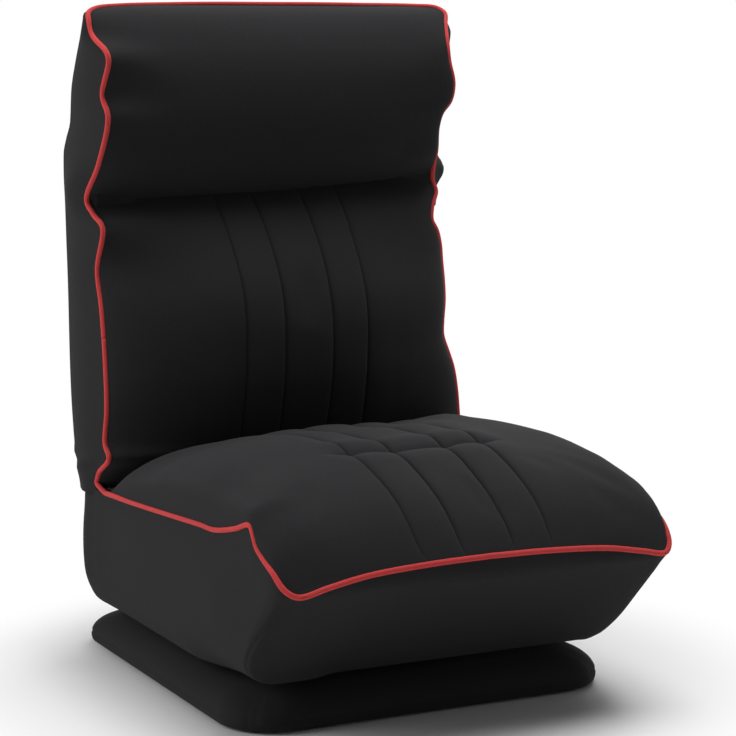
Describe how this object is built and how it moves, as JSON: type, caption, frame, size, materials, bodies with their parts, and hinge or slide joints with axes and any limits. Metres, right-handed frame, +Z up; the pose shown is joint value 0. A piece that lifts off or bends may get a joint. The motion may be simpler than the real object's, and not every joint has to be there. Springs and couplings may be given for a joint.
{
  "type": "swivel floor chair",
  "caption": "Legless padded floor chair with a tilting headrest, a reclining channelled back and a channelled seat with piped edges, turning on a low fabric-covered base.",
  "frame": {"origin": "floor level, under the middle of the chair's overall width and depth", "axes": "+Z up, -Y towards the front of the seat, +X to the right of someone facing the chair's front"},
  "size_m": [0.51, 0.6549, 0.8071],
  "materials": {
    "black_fabric": "matte woven",
    "black_cushion": "matte woven, padded",
    "foam": "soft foam",
    "red_piping": "woven cord",
    "webbing": "woven belt",
    "lining": "thin cloth",
    "feet": "matte",
    "cage": "matte",
    "black_tube": "satin",
    "steel": "satin",
    "zinc_steel": "satin",
    "ball_steel": "polished"
  },
  "bodies": {
    "base": {"base_ring": "black_tube", "base_cross_rails": "black_tube", "base_cover": "black_fabric", "base_bottom_cloth": "lining", "base_feet": "feet", "swivel_lower_plate": "steel", "swivel_lower_screws": "zinc_steel", "swivel_rivet": "zinc_steel"},
    "ball_cage": {"swivel_cage": "cage", "swivel_balls": "ball_steel"},
    "seat": {"swivel_upper_plate": "steel", "swivel_upper_screws": "zinc_steel", "seat_frame": "black_tube", "seat_cross_rails": "black_tube", "seat_webbing": "webbing", "seat_foam": "foam", "seat_cushion": "black_cushion", "seat_cover": "black_fabric", "seat_piping": "red_piping", "recline_bracket_left": "steel", "recline_bracket_right": "steel", "recline_pins": "steel", "recline_springs": "zinc_steel"},
    "recline_pawl_left": {"recline_pawl_left": "steel"},
    "recline_pawl_right": {"recline_pawl_right": "steel"},
    "back": {"recline_arm_left": "steel", "recline_arm_right": "steel", "back_frame": "black_tube", "back_webbing": "webbing", "back_rear_pad": "foam", "back_cushion": "black_cushion", "back_cover": "black_fabric", "back_piping_left": "red_piping", "back_piping_right": "red_piping", "neck_arm_left": "steel", "neck_arm_right": "steel"},
    "headrest": {"neck_bracket_left": "steel", "neck_bracket_right": "steel", "neck_pins": "steel", "neck_springs": "zinc_steel", "headrest_frame": "black_tube", "headrest_rear_pad": "foam", "headrest_cushion": "black_cushion", "headrest_cover": "black_fabric", "headrest_piping": "red_piping"},
    "neck_pawl_left": {"neck_pawl_left": "steel"},
    "neck_pawl_right": {"neck_pawl_right": "steel"}
  },
  "joints": [
    {"name": "swivel", "type": "hinge", "parent": "base", "child": "seat", "pos_m": [0, 0.045, 0.044], "axis": [0, 0, 1], "continuous": true},
    {"name": "ball_roll", "type": "hinge", "parent": "base", "child": "ball_cage", "pos_m": [0, 0.045, 0.044], "axis": [0, 0, 1], "continuous": true},
    {"name": "recline", "type": "hinge", "parent": "seat", "child": "back", "pos_m": [0, 0.267, 0.243], "axis": [-1, 0, 0], "range_deg": [0, 84]},
    {"name": "recline_catch_left", "type": "hinge", "parent": "seat", "child": "recline_pawl_left", "pos_m": [0, 0.242, 0.218], "axis": [1, 0, 0], "range_deg": [0, 3.5]},
    {"name": "recline_catch_right", "type": "hinge", "parent": "seat", "child": "recline_pawl_right", "pos_m": [0, 0.242, 0.218], "axis": [1, 0, 0], "range_deg": [0, 3.5]},
    {"name": "neck_tilt", "type": "hinge", "parent": "back", "child": "headrest", "pos_m": [0, 0.26275, 0.57135], "axis": [1, 0, 0], "range_deg": [0, 30]},
    {"name": "neck_catch_left", "type": "hinge", "parent": "headrest", "child": "neck_pawl_left", "pos_m": [0, 0.28963, 0.59431], "axis": [1, 0, 0], "range_deg": [0, 3.5]},
    {"name": "neck_catch_right", "type": "hinge", "parent": "headrest", "child": "neck_pawl_right", "pos_m": [0, 0.28963, 0.59431], "axis": [1, 0, 0], "range_deg": [0, 3.5]}
  ],
  "couplings": [
    {"joint": "ball_roll", "follows": "swivel", "ratio": 0.5},
    {"joint": "recline_catch_right", "follows": "recline_catch_left", "ratio": 1},
    {"joint": "neck_catch_right", "follows": "neck_catch_left", "ratio": 1}
  ]
}
